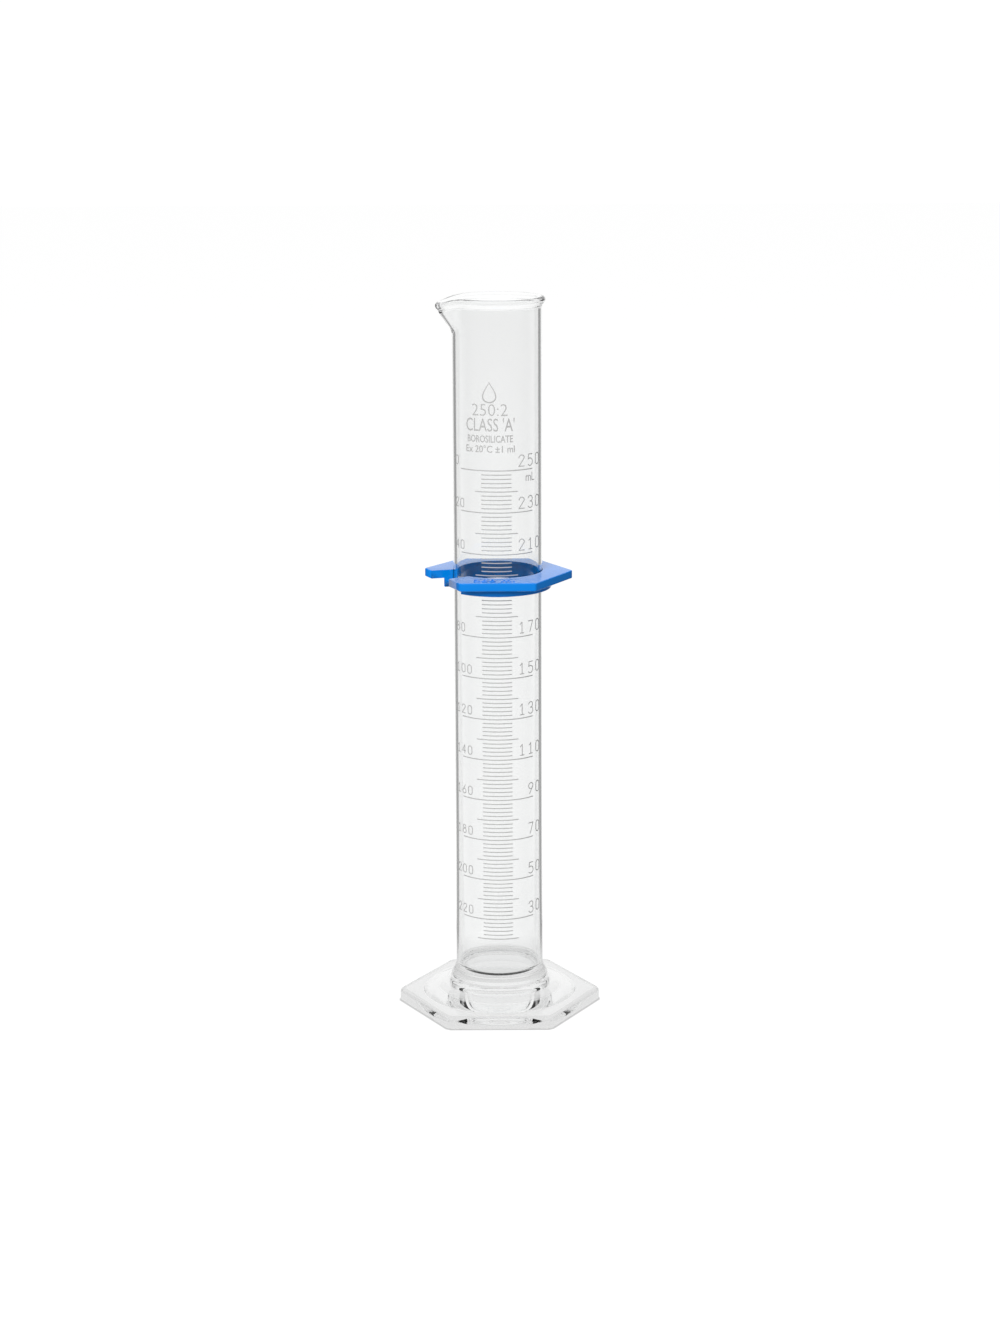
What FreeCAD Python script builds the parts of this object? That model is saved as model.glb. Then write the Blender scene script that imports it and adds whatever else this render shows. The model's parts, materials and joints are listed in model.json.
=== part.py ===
"""Graduated measuring cylinder, 250 ml, with a hexagonal glass foot and a slide-on plastic bumper guard.

The frame's origin is the centre of the foot on the table, +Z goes up the tube, the spout points along -X
and the scale faces -Y. Sizes are in millimetres.
"""

import FreeCAD, Part
import math
import os

# ---- tube ----
TUBE_RADIUS = 20.0
WALL = 1.6
HEADROOM = 74.6
BOTTOM_THICKNESS = 4.1
CAVITY_CORNER = 4.0
WELD_HEIGHT = 12.8
WELD_SPREAD = 2.2
WELD_RING_HEIGHT = 1.4
WELD_GROOVE = 0.4
FLARE_RADIUS = 10.0

# ---- mouth: bead all round, and a pulled spout ----
BEAD_RADIUS = 1.5
NECK_DROP = 2.9
SPOUT_REACH = 5.7
SPOUT_DIP = 2.6
SPOUT_DEPTH = 15.8
SPOUT_HALF_ANGLE = 50.0
SPOUT_SECTIONS = 13
SPOUT_SHARPNESS = 1.5
MOUTH_MARGIN = 4.0
SEAM_TOLERANCE = 0.001

# ---- foot ----
FOOT_ACROSS_FLATS = 81.2
FOOT_EDGE_HEIGHT = 6.1
FOOT_CORNER_ROUND = 4.5
FOOT_TOP_ROUND = 2.2
FOOT_BOTTOM_ROUND = 1.0
FOOT_BORDER = 5.3
DOME_SHOULDER_SPREAD = 2.8
DOME_SHOULDER_DROP = 2.5
DOME_CROWN = 0.5
STANDING_BORDER = 7.6
RECESS_DEPTH = 4.5

# ---- scale, in fired enamel ----
CAPACITY_ML = 250
LOWEST_LINE_ML = 20
MINOR_STEP_ML = 2
MAJOR_STEP_ML = 20
ENAMEL = 0.06
LINE_WIDTH = 0.45
SCALE_TURN = -1.5
MINOR_SPAN = 39.0
MIDDLE_SPAN = 56.0
MAJOR_SPAN = 104.0

# ---- numerals ----
STROKE_WIDTH = 0.42
GLYPH_WIDTH = 0.56
FALLING_HEIGHT = 5.0
FALLING_PITCH = 5.0
FALLING_END_ANGLE = 68.0
RISING_HEIGHT = 3.9
RISING_PITCH = 3.9
RISING_START_ANGLE = -68.0
NUMERAL_LIFT = 1.6
UNIT_HEIGHT = 3.4
UNIT_PITCH = 3.0
UNIT_START_ANGLE = 43.0
UNIT_GAP = 1.7

# ---- bumper guard ----
GUARD_CLEARANCE = 0.12
GUARD_LAND = 8.9
GUARD_PLATE = 3.7
GUARD_BELOW_TOP_LINE = 48.0
GUARD_CORNER_ROUND = 1.6
GUARD_EDGE_ROUND = 0.5
GUARD_FORWARD = 2.7
ARM_SPRING_OUT = 0.5
ARM_SPRING_BACK = 6.5
COLLAR_WALL = 4.0
COLLAR_DROP = 4.1
SLOT_FRONT_ANGLE = 230.0
SLOT_FRONT_HEADING = 213.0
SLOT_REAR_ANGLE = 180.0
SLOT_REAR_HEADING = 194.0

# ---- sizes that follow from the ones above ----
BORE_RADIUS = TUBE_RADIUS - WALL
BORE_AREA = math.pi * BORE_RADIUS ** 2
CAVITY_FLOOR = WELD_HEIGHT + BOTTOM_THICKNESS


def height_of_volume(ml):
    """Height of a level surface above the table. The rounded corner of the floor holds less than a square one."""
    corner_area = (1 - math.pi / 4) * CAVITY_CORNER ** 2
    corner_centre = BORE_RADIUS - CAVITY_CORNER * (10 - 3 * math.pi) / (12 - 3 * math.pi)
    lost = 2 * math.pi * corner_centre * corner_area
    return CAVITY_FLOOR + (1000.0 * ml + lost) / BORE_AREA


TOP_LINE = height_of_volume(CAPACITY_ML)
TOTAL_HEIGHT = TOP_LINE + HEADROOM
BEAD_HEIGHT = TOTAL_HEIGHT - BEAD_RADIUS
SPOUT_ROOT = TOTAL_HEIGHT - SPOUT_DEPTH
MOUTH_BASE = SPOUT_ROOT - MOUTH_MARGIN
WELD_RING_RADIUS = TUBE_RADIUS + WELD_SPREAD
DOME_RADIUS = FOOT_ACROSS_FLATS / 2 - FOOT_BORDER
RECESS_RADIUS = FOOT_ACROSS_FLATS / 2 - STANDING_BORDER
ENAMEL_RADIUS = TUBE_RADIUS + ENAMEL
GUARD_BORE = ENAMEL_RADIUS + GUARD_CLEARANCE
GUARD_TOP = TOP_LINE - GUARD_BELOW_TOP_LINE
GUARD_ACROSS_FLATS = 2 * (GUARD_BORE + GUARD_LAND)

UP = FreeCAD.Vector(0, 0, 1)
ORIGIN = FreeCAD.Vector(0, 0, 0)


def vec(x, y=0.0, z=0.0):
    return FreeCAD.Vector(x, y, z)


def polar(radius, degrees, z=0.0):
    """A point at a plan angle counted from +X."""
    turn = math.radians(degrees)
    return vec(radius * math.cos(turn), radius * math.sin(turn), z)


def line(a, b):
    return Part.makeLine(a, b)


def arc(a, middle, b):
    return Part.Arc(a, middle, b).toShape()


def turned(shape, degrees):
    """A copy turned about the tube's axis."""
    copy = shape.copy()
    copy.rotate(ORIGIN, UP, degrees)
    return copy


def spun(edges, degrees=360.0):
    """A profile in the XZ plane turned about the tube's axis."""
    return Part.Face(Part.Wire(edges)).revolve(ORIGIN, UP, degrees)


def round_profile(points):
    return [line(vec(*a), vec(*b)) for a, b in zip(points, points[1:] + points[:1])]


# ---- tube ----

def tube_barrel():
    """The straight tube with its closed, rounded bottom and the flare down to the weld ring."""
    ring_top = WELD_HEIGHT + WELD_RING_HEIGHT
    flare = WELD_RING_RADIUS - TUBE_RADIUS
    rise = math.sqrt(FLARE_RADIUS ** 2 - (FLARE_RADIUS - flare) ** 2)
    half_turn = math.acos(1 - flare / FLARE_RADIUS) / 2
    flare_top = vec(TUBE_RADIUS, 0, ring_top + rise)
    flare_middle = flare_top + vec(FLARE_RADIUS * (1 - math.cos(half_turn)), 0, -FLARE_RADIUS * math.sin(half_turn))
    ring_edge = vec(WELD_RING_RADIUS, 0, ring_top)
    ring_bottom = vec(WELD_RING_RADIUS, 0, WELD_HEIGHT + WELD_GROOVE)
    weld_edge = vec(WELD_RING_RADIUS - WELD_GROOVE, 0, WELD_HEIGHT)
    wall_top = vec(TUBE_RADIUS, 0, MOUTH_BASE)
    bore_top = vec(BORE_RADIUS, 0, MOUTH_BASE)
    corner_top = vec(BORE_RADIUS, 0, CAVITY_FLOOR + CAVITY_CORNER)
    corner_end = vec(BORE_RADIUS - CAVITY_CORNER, 0, CAVITY_FLOOR)
    inset = CAVITY_CORNER * math.sqrt(0.5)
    corner_middle = vec(BORE_RADIUS - CAVITY_CORNER + inset, 0, CAVITY_FLOOR + CAVITY_CORNER - inset)
    return spun([
        line(vec(0, 0, WELD_HEIGHT), weld_edge),
        line(weld_edge, ring_bottom),
        line(ring_bottom, ring_edge),
        arc(ring_edge, flare_middle, flare_top),
        line(flare_top, wall_top),
        line(wall_top, bore_top),
        line(bore_top, corner_top),
        arc(corner_top, corner_middle, corner_end),
        line(corner_end, vec(0, 0, CAVITY_FLOOR)),
        line(vec(0, 0, CAVITY_FLOOR), vec(0, 0, WELD_HEIGHT)),
    ])


def mouth_profile(pull):
    """Wall and bead in the XZ plane; pull goes from 0 on the plain rim to 1 at the tip of the spout."""
    shift = vec(SPOUT_REACH * pull, 0, -SPOUT_DIP * pull)
    bead = vec(TUBE_RADIUS, 0, BEAD_HEIGHT) + shift
    outer_neck = vec(TUBE_RADIUS, 0, BEAD_HEIGHT - NECK_DROP) + shift
    inner_neck = outer_neck - vec(WALL)
    outer_waist = bead + vec(BEAD_RADIUS * 0.62, 0, -BEAD_RADIUS * 1.02)
    inner_waist = bead + vec(-BEAD_RADIUS * 1.03, 0, -BEAD_RADIUS)
    outer_root = vec(TUBE_RADIUS, 0, SPOUT_ROOT)
    inner_root = vec(BORE_RADIUS, 0, SPOUT_ROOT)
    outer_base = vec(TUBE_RADIUS, 0, MOUTH_BASE)
    inner_base = vec(BORE_RADIUS, 0, MOUTH_BASE)
    outer_side = bead + vec(BEAD_RADIUS)
    inner_side = bead - vec(BEAD_RADIUS)
    crest = bead + vec(0, 0, BEAD_RADIUS)
    return [
        line(outer_base, outer_root),
        line(outer_root, outer_neck),
        arc(outer_neck, outer_waist, outer_side),
        arc(outer_side, crest, inner_side),
        arc(inner_side, inner_waist, inner_neck),
        line(inner_neck, inner_root),
        line(inner_root, inner_base),
        line(inner_base, outer_base),
    ]


def spout_pull(angle):
    """How far the rim is drawn out, at an angle away from the spout's middle."""
    share = min(abs(angle) / SPOUT_HALF_ANGLE, 1.0)
    return (0.5 + 0.5 * math.cos(math.pi * share)) ** SPOUT_SHARPNESS


def mouth_pieces():
    """The plain rim is turned; the spout is a loft of the same wall, drawn out section by section."""
    rim_turn = 360.0 - 2 * SPOUT_HALF_ANGLE
    rim = turned(spun(mouth_profile(0.0), rim_turn), -rim_turn / 2)
    sections = []
    for index in range(SPOUT_SECTIONS):
        angle = SPOUT_HALF_ANGLE * (2.0 * index / (SPOUT_SECTIONS - 1) - 1.0)
        sections.append(turned(Part.Wire(mouth_profile(spout_pull(angle))), 180.0 + angle))
    return [rim, Part.makeLoft(sections, True, False)]


def measuring_tube():
    """The loft only nearly follows the tube's circle, so the seams are joined with a small tolerance."""
    return tube_barrel().fuse(mouth_pieces(), SEAM_TOLERANCE).removeSplitter()


# ---- foot ----

def hexagon(across_flats, z=0.0):
    corner = across_flats / 2 / math.cos(math.radians(30))
    return [polar(corner, 60 * k, z) for k in range(6)]


def prism(points, height):
    return Part.Face(Part.makePolygon(points + points[:1])).extrude(vec(0, 0, height))


def vertical_edges(shape):
    return [e for e in shape.Edges if abs(e.Vertexes[0].Z - e.Vertexes[-1].Z) > 1 and e.BoundBox.DiagonalLength
            < e.BoundBox.ZLength + 1e-6]


def edges_at(shape, z):
    return [e for e in shape.Edges if abs(e.BoundBox.ZMin - z) < 1e-4 and abs(e.BoundBox.ZMax - z) < 1e-4]


def hexagonal_foot():
    """Pressed hexagonal slab, domed up to the weld, with a shallow dished underside."""
    slab = prism(hexagon(FOOT_ACROSS_FLATS), FOOT_EDGE_HEIGHT)
    slab = slab.makeFillet(FOOT_CORNER_ROUND, vertical_edges(slab))
    slab = slab.makeFillet(FOOT_TOP_ROUND, edges_at(slab, FOOT_EDGE_HEIGHT))
    slab = slab.makeFillet(FOOT_BOTTOM_ROUND, edges_at(slab, 0.0))
    half = FOOT_EDGE_HEIGHT / 2
    foot_edge = vec(DOME_RADIUS, 0, FOOT_EDGE_HEIGHT)
    shoulder = vec(WELD_RING_RADIUS + DOME_SHOULDER_SPREAD, 0, WELD_HEIGHT - DOME_SHOULDER_DROP)
    crown = (foot_edge + shoulder) * 0.5 + vec(DOME_CROWN, 0, DOME_CROWN)
    seam_foot = vec(WELD_RING_RADIUS, 0, WELD_HEIGHT - WELD_GROOVE)
    weld_edge = vec(WELD_RING_RADIUS - WELD_GROOVE, 0, WELD_HEIGHT)
    hollow = (shoulder + seam_foot) * 0.5 - vec(DOME_CROWN / 2, 0, DOME_CROWN / 2)
    dome = spun([
        line(vec(0, 0, half), vec(DOME_RADIUS, 0, half)),
        line(vec(DOME_RADIUS, 0, half), foot_edge),
        arc(foot_edge, crown, shoulder),
        arc(shoulder, hollow, seam_foot),
        line(seam_foot, weld_edge),
        line(weld_edge, vec(0, 0, WELD_HEIGHT)),
        line(vec(0, 0, WELD_HEIGHT), vec(0, 0, half)),
    ])
    dish_radius = (RECESS_RADIUS ** 2 + RECESS_DEPTH ** 2) / (2 * RECESS_DEPTH)
    dish = Part.makeSphere(dish_radius, vec(0, 0, RECESS_DEPTH - dish_radius))
    return slab.fuse(dome).cut(dish).removeSplitter()


# ---- enamel lines ----

def scale_line(ml, span):
    """One graduation: a thin band on the outside of the tube."""
    z = height_of_volume(ml)
    low = z - LINE_WIDTH / 2
    high = z + LINE_WIDTH / 2
    band = spun(round_profile([
        (TUBE_RADIUS, 0, low),
        (ENAMEL_RADIUS, 0, low),
        (ENAMEL_RADIUS, 0, high),
        (TUBE_RADIUS, 0, high),
    ]), span)
    return turned(band, SCALE_TURN - 90.0 - span / 2)


def major_volumes():
    return list(range(CAPACITY_ML, LOWEST_LINE_ML, -MAJOR_STEP_ML))


def middle_volumes():
    return list(range(CAPACITY_ML - MAJOR_STEP_ML // 2, LOWEST_LINE_ML - 1, -MAJOR_STEP_ML))


def minor_volumes():
    long_lines = major_volumes() + middle_volumes()
    return [ml for ml in range(CAPACITY_ML, LOWEST_LINE_ML - 1, -MINOR_STEP_ML) if ml not in long_lines]


def lines_for(volumes, span):
    return Part.Compound([scale_line(ml, span) for ml in volumes])


# ---- enamel numerals: strokes of one width, on a cell one high ----

def strokes(*points):
    """A stroke through points; a nested triple is an arc through its three points."""
    edges = []
    last = None
    for item in points:
        bend = item if isinstance(item[0], tuple) else (item,)
        stops = [vec(p[0], 0, p[1]) for p in bend]
        if last is not None and last.distanceToPoint(stops[0]) > 1e-6:
            edges.append(line(last, stops[0]))
        if len(stops) == 3:
            edges.append(arc(*stops))
        last = stops[-1]
    return edges


def ring(x, z, radius):
    """A closed round stroke, as two half circles."""
    left = (x - radius, z)
    right = (x + radius, z)
    return strokes((left, (x, z + radius), right)) + strokes((right, (x, z - radius), left))


W = GLYPH_WIDTH
HALF_W = W / 2
BOWL = 0.28
SMALL_BOWL = 0.22

GLYPHS = {
    "0": [strokes(((0, 0.7), (HALF_W, 1), (W, 0.7)), ((W, 0.3), (HALF_W, 0), (0, 0.3)), (0, 0.7))],
    "1": [strokes((HALF_W - 0.2, 0.8), (HALF_W, 1), (HALF_W, 0)), strokes((HALF_W - 0.2, 0), (HALF_W + 0.2, 0))],
    "2": [strokes(((0.01, 0.76), (HALF_W, 1), (W, 0.72)), (0, 0), (W, 0))],
    "3": [strokes((0.01, 0.86), ((0.03, 0.87), (W - 0.03, 0.8), (0.22, 0.54))),
          strokes(((0.22, 0.54), (W, 0.27), (0.02, 0.11)), (0, 0.12))],
    "4": [strokes((0.42, 0), (0.42, 1)), strokes((0.42, 1), (0, 0.3), (W, 0.3))],
    "5": [strokes((W - 0.04, 1), (0.07, 1), ((0.03, 0.56), (W, 0.33), (0, 0.08)))],
    "6": [ring(HALF_W, BOWL, BOWL), strokes(((0, BOWL), (0.12, 0.72), (W - 0.1, 1)))],
    "7": [strokes((0, 1), (W, 1), (0.18, 0))],
    "8": [ring(HALF_W, BOWL, BOWL), ring(HALF_W, 1 - SMALL_BOWL, SMALL_BOWL)],
    "9": [ring(HALF_W, 1 - BOWL, BOWL), strokes(((W, 1 - BOWL), (W - 0.12, 0.28), (0.1, 0)))],
    "m": [strokes((0, 0.64), (0, 0)), strokes(((0, 0.42), (0.2, 0.64), (0.4, 0.42)), (0.4, 0)),
          strokes(((0.4, 0.42), (0.6, 0.64), (0.8, 0.42)), (0.8, 0))],
    "L": [strokes((0, 1), (0, 0), (0.44, 0))],
}


def straight_stroke(a, b, half):
    """A straight pen stroke with round ends, in the XZ plane."""
    along = (b - a).normalize() * half
    side = along.cross(vec(0, 1, 0))
    return Part.Face(Part.Wire([
        line(a + side, b + side),
        arc(b + side, b + along, b - side),
        line(b - side, a - side),
        arc(a - side, a - along, a + side),
    ]))


def stroke_face(edges, height):
    """The outline of a pen stroke: half the stroke width to each side of its line."""
    half = STROKE_WIDTH / 2
    if len(edges) == 1:
        a, b = (v.Point * height for v in edges[0].Vertexes)
        return straight_stroke(a, b, half)
    path = Part.Wire(edges)
    path.scale(height, ORIGIN)
    if not path.isClosed():
        return Part.Face(path.makeOffset2D(half))
    outside = Part.Face(path.makeOffset2D(half))
    return outside.cut(Part.Face(path.makeOffset2D(-half)))


def glyph(name, height):
    """One character as a thin enamel solid, centred on the tube's -Y side with its foot at z = 0."""
    faces = [stroke_face(edges, height) for edges in GLYPHS[name]]
    width = max(f.BoundBox.XMax for f in faces) + min(f.BoundBox.XMin for f in faces)
    depth = 3 * WALL
    solids = [f.extrude(vec(0, depth, 0)) for f in faces]
    block = solids[0].multiFuse(solids[1:]) if len(solids) > 1 else solids[0]
    block.translate(vec(-width / 2, -TUBE_RADIUS - WALL, 0))
    room = 2 * STROKE_WIDTH
    skin = Part.makeCylinder(ENAMEL_RADIUS, height + 2 * room, vec(0, 0, -room))
    skin = skin.cut(Part.makeCylinder(TUBE_RADIUS, height + 2 * room, vec(0, 0, -room)))
    return block.common(skin).removeSplitter()


def lettering(text, height, pitch, first_angle, z, cut_glyphs):
    """Characters side by side round the tube, the first one's centre at first_angle."""
    step = math.degrees(pitch / TUBE_RADIUS)
    solids = []
    for index, name in enumerate(text):
        key = (name, height)
        if key not in cut_glyphs:
            cut_glyphs[key] = glyph(name, height)
        placed = turned(cut_glyphs[key], first_angle + index * step)
        placed.translate(vec(0, 0, z))
        solids += placed.Solids
    return solids


def falling_numerals(cut_glyphs):
    """What the cylinder contains, large, on the right: the highest number stands on the top line."""
    step = math.degrees(FALLING_PITCH / TUBE_RADIUS)
    solids = []
    for ml in major_volumes():
        text = str(ml)
        start = FALLING_END_ANGLE - step * (len(text) - 0.5)
        z = height_of_volume(ml) + NUMERAL_LIFT
        solids += lettering(text, FALLING_HEIGHT, FALLING_PITCH, start, z, cut_glyphs)
    return Part.Compound(solids)


def rising_numerals(cut_glyphs):
    """What has been poured out, small, on the left: zero stands on the top line."""
    step = math.degrees(RISING_PITCH / TUBE_RADIUS)
    solids = []
    for ml in major_volumes():
        z = height_of_volume(ml) + NUMERAL_LIFT
        start = RISING_START_ANGLE + step / 2
        solids += lettering(str(CAPACITY_ML - ml), RISING_HEIGHT, RISING_PITCH, start, z, cut_glyphs)
    return Part.Compound(solids)


def unit_mark(cut_glyphs):
    z = TOP_LINE - UNIT_GAP - UNIT_HEIGHT
    return Part.Compound(lettering("mL", UNIT_HEIGHT, UNIT_PITCH, UNIT_START_ANGLE, z, cut_glyphs))


# ---- bumper guard ----

def guard_outline():
    """A hexagon set a little forward of the bore, its left corner sprung back with the arm beside the slot."""
    corners = [p + vec(0, -GUARD_FORWARD, 0) for p in hexagon(GUARD_ACROSS_FLATS)]
    corners[3] = corners[3] + vec(ARM_SPRING_OUT, ARM_SPRING_BACK, 0)
    return corners


def slot_cutter(low, high):
    """The slot runs from inside the bore out past the left side; its walls spread apart."""
    far = GUARD_ACROSS_FLATS
    inner_front = polar(GUARD_BORE, SLOT_FRONT_ANGLE)
    inner_rear = polar(GUARD_BORE, SLOT_REAR_ANGLE)
    corners = [
        vec(0),
        inner_front - polar(WALL, SLOT_FRONT_HEADING),
        inner_front + polar(far, SLOT_FRONT_HEADING),
        inner_rear + polar(far, SLOT_REAR_HEADING),
        inner_rear - polar(WALL, SLOT_REAR_HEADING),
    ]
    cutter = prism(corners, high - low)
    cutter.translate(vec(0, 0, low))
    return cutter


def bumper_guard():
    """One moulding: a hexagonal plate with a collar under it, slit so that it springs onto the tube."""
    plate_bottom = GUARD_TOP - GUARD_PLATE
    collar_bottom = plate_bottom - COLLAR_DROP
    plate = prism(guard_outline(), GUARD_PLATE)
    plate = plate.makeFillet(GUARD_CORNER_ROUND, vertical_edges(plate))
    plate = plate.makeFillet(GUARD_EDGE_ROUND, edges_at(plate, 0.0) + edges_at(plate, GUARD_PLATE))
    plate.translate(vec(0, 0, plate_bottom))
    collar = Part.makeCylinder(GUARD_BORE + COLLAR_WALL, COLLAR_DROP + GUARD_PLATE / 2, vec(0, 0, collar_bottom))
    collar = collar.makeFillet(GUARD_EDGE_ROUND, edges_at(collar, collar_bottom))
    body = plate.fuse(collar)
    body = body.cut(Part.makeCylinder(GUARD_BORE, GUARD_PLATE + COLLAR_DROP, vec(0, 0, collar_bottom)))
    return body.cut(slot_cutter(collar_bottom, GUARD_TOP)).removeSplitter()


def main():
    cut_glyphs = {}
    nodes = {
        "measuring_tube": measuring_tube(),
        "hexagonal_foot": hexagonal_foot(),
        "major_scale_lines": lines_for(major_volumes(), MAJOR_SPAN),
        "middle_scale_lines": lines_for(middle_volumes(), MIDDLE_SPAN),
        "minor_scale_lines": lines_for(minor_volumes(), MINOR_SPAN),
        "falling_numerals": falling_numerals(cut_glyphs),
        "rising_numerals": rising_numerals(cut_glyphs),
        "unit_mark": unit_mark(cut_glyphs),
        "bumper_guard": bumper_guard(),
    }
    os.makedirs("parts", exist_ok=True)
    for name, shape in nodes.items():
        shape.exportStep("parts/" + name + ".step")
        box = shape.BoundBox
        print(f"{name}: {len(shape.Solids)} solids, valid {shape.isValid()}, volume {shape.Volume:.2f} mm3, "
              f"x {box.XMin:.2f} to {box.XMax:.2f}, y {box.YMin:.2f} to {box.YMax:.2f}, "
              f"z {box.ZMin:.2f} to {box.ZMax:.2f}")


main()
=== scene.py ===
import json
import math

import bmesh
import bpy
from mathutils import Matrix, Vector


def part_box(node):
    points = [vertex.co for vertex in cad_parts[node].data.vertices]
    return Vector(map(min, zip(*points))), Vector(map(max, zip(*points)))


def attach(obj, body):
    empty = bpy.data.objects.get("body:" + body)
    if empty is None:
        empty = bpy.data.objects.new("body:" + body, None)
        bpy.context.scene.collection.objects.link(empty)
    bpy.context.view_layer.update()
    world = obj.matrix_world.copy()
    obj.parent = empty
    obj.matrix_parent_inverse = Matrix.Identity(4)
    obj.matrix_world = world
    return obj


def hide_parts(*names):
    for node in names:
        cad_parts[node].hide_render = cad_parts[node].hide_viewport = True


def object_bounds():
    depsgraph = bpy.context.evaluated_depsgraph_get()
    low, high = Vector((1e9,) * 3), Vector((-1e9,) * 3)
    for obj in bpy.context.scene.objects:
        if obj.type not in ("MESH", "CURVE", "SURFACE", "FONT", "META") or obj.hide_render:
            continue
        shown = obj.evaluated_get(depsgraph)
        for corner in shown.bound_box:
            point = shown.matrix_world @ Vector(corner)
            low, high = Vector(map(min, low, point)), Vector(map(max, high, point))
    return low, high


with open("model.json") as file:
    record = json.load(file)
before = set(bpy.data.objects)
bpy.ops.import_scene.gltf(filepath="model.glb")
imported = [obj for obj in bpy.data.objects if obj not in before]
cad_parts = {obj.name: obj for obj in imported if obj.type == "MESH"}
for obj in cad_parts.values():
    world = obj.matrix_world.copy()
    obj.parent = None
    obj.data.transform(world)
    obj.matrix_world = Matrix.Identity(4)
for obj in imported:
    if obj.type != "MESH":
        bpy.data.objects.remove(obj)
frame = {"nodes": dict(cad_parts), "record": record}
cad_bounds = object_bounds()

MM = 0.001


# ---------------------------------------------------------------------------------------------
# Camera. It stands a little over a metre in front of the scale and looks down at the cylinder,
# so that the mouth shows as a thin ellipse and the foot as a wide one.
# ---------------------------------------------------------------------------------------------

CAMERA_DISTANCE = 1.256
CAMERA_HEIGHT = 0.459
CAMERA_PITCH = 13.29
CAMERA_ROLL = 0.25
CAMERA_SIDE = 0.8 * MM
LONG_SIDE = 36.0
LENS = 77.67

camera_data = bpy.data.cameras.new("camera")
camera_data.sensor_width = LONG_SIDE
camera_data.lens = LENS
camera = bpy.data.objects.new("camera", camera_data)
bpy.context.scene.collection.objects.link(camera)
tilt = Matrix.Rotation(math.radians(90 - CAMERA_PITCH), 4, "X")
camera.matrix_world = (Matrix.Translation((CAMERA_SIDE, -CAMERA_DISTANCE, CAMERA_HEIGHT)) @ tilt
                       @ Matrix.Rotation(math.radians(-CAMERA_ROLL), 4, "Z"))
bpy.context.scene.camera = camera
bpy.context.scene.view_settings.view_transform = "Standard"


# ---------------------------------------------------------------------------------------------
# Studio. A pale, matt table in a white room. Mirrored light meets one bright panel behind and dark
# walls, and light turned back inside the glass meets narrow panels and flags in turn: its edges
# show as thin dark lines, while all that is seen straight or through it stays white.
# ---------------------------------------------------------------------------------------------

class Value:
    """A node's output, so that maths on it reads as arithmetic."""

    def __init__(self, tree, socket):
        self.tree = tree
        self.socket = socket

    def maths(self, operation, *terms):
        node = self.tree.nodes.new("ShaderNodeMath")
        node.operation = operation
        for socket, term in zip(node.inputs, terms or (self,)):
            if isinstance(term, Value):
                self.tree.links.new(term.socket, socket)
            else:
                socket.default_value = term
        return Value(self.tree, node.outputs[0])

    def __add__(self, other):
        return self.maths("ADD", self, other)

    def __sub__(self, other):
        return self.maths("SUBTRACT", self, other)

    def __rsub__(self, other):
        return self.maths("SUBTRACT", other, self)

    def __mul__(self, other):
        return self.maths("MULTIPLY", self, other)

    def __truediv__(self, other):
        return self.maths("DIVIDE", self, other)

    def __pow__(self, other):
        return self.maths("POWER", self, other)

    __radd__ = __add__
    __rmul__ = __mul__

    def clamped(self):
        return self.maths("MINIMUM", self.maths("MAXIMUM", self, 0.0), 1.0)

    def between(self, low, high):
        """0 below low, 1 above high."""
        return ((self - low) / (high - low)).clamped()


class Graph:
    """A node tree; node() adds any node with its settings first and then its sockets."""

    def __init__(self, tree):
        self.tree = tree
        self.tree.nodes.clear()

    def node(self, kind, settings=None, inputs=None, output=0):
        made = self.tree.nodes.new(kind)
        for key, value in (settings or {}).items():
            setattr(made, key, value)
        for key, value in (inputs or {}).items():
            if isinstance(value, Value):
                self.tree.links.new(value.socket, made.inputs[key])
            else:
                made.inputs[key].default_value = value
        return Value(self.tree, made.outputs[output])

    def output_of(self, value, name):
        """Another output of the node that a value comes from."""
        return Value(self.tree, value.socket.node.outputs[name])

    def close(self, value, socket="Surface", kind="ShaderNodeOutputMaterial"):
        ends = [n for n in self.tree.nodes if n.bl_idname == kind]
        end = ends[0] if ends else self.tree.nodes.new(kind)
        self.tree.links.new(value.socket, end.inputs[socket])


def grey(value):
    return (value, value, value, 1)


BACKDROP = 1.04
THROUGH_GLASS = 1.07
ROUND_ABOUT = 0.36
CEILING = 0.97
WALL_BAND_TOP = math.sin(math.radians(14))
CEILING_START = math.sin(math.radians(32))

BACKLIGHT = 1.05
BACKLIGHT_FADES = 0.80
BACKLIGHT_FULL = 0.92
DARK_WALL = 0.02

PANELS = 6
PANEL_EDGE = 0.2
PANEL_SOFTNESS = 0.3
INNER_PANEL = 0.95
ROOM_INNER_FLAG = 0.85
SHUT_FROM = -0.6
SHUT_FULL = 0.1


def studio_light(graph, path, place, banded, inner_flag, shut):
    """The level that a ray meets in a direction of the room, or at a spot on the table.

    banded is 1 where walls, panels and flags count, and 0 where the level is the even ceiling's. Light
    turned back inside the glass meets flags of the level inner_flag, and a camera side darker by shut.
    """
    behind = graph.output_of(place, "Y")
    around = behind.maths("ARCTAN2", behind, place) - math.pi / 2
    wave = 0.5 + 0.5 * (around * PANELS).maths("COSINE")
    facing = wave.between(PANEL_EDGE, PANEL_EDGE + PANEL_SOFTNESS)
    ahead = around.maths("COSINE")
    lit = ahead.between(BACKLIGHT_FADES, BACKLIGHT_FULL)
    mirrored = CEILING + banded * (DARK_WALL + lit * (BACKLIGHT - DARK_WALL) - CEILING)
    inner = CEILING + banded * (inner_flag + facing * (INNER_PANEL - inner_flag) - CEILING)
    inner = inner * (1.0 - shut * (0.0 - ahead).between(SHUT_FROM, SHUT_FULL))
    turned_back = graph.output_of(path, "Glossy Depth").between(0.0, 1.0)
    through = THROUGH_GLASS + turned_back * (inner - THROUGH_GLASS)
    outside = ROUND_ABOUT + graph.output_of(path, "Is Glossy Ray") * (mirrored - ROUND_ABOUT)
    return outside + graph.output_of(path, "Is Transmission Ray") * (through - outside)


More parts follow.
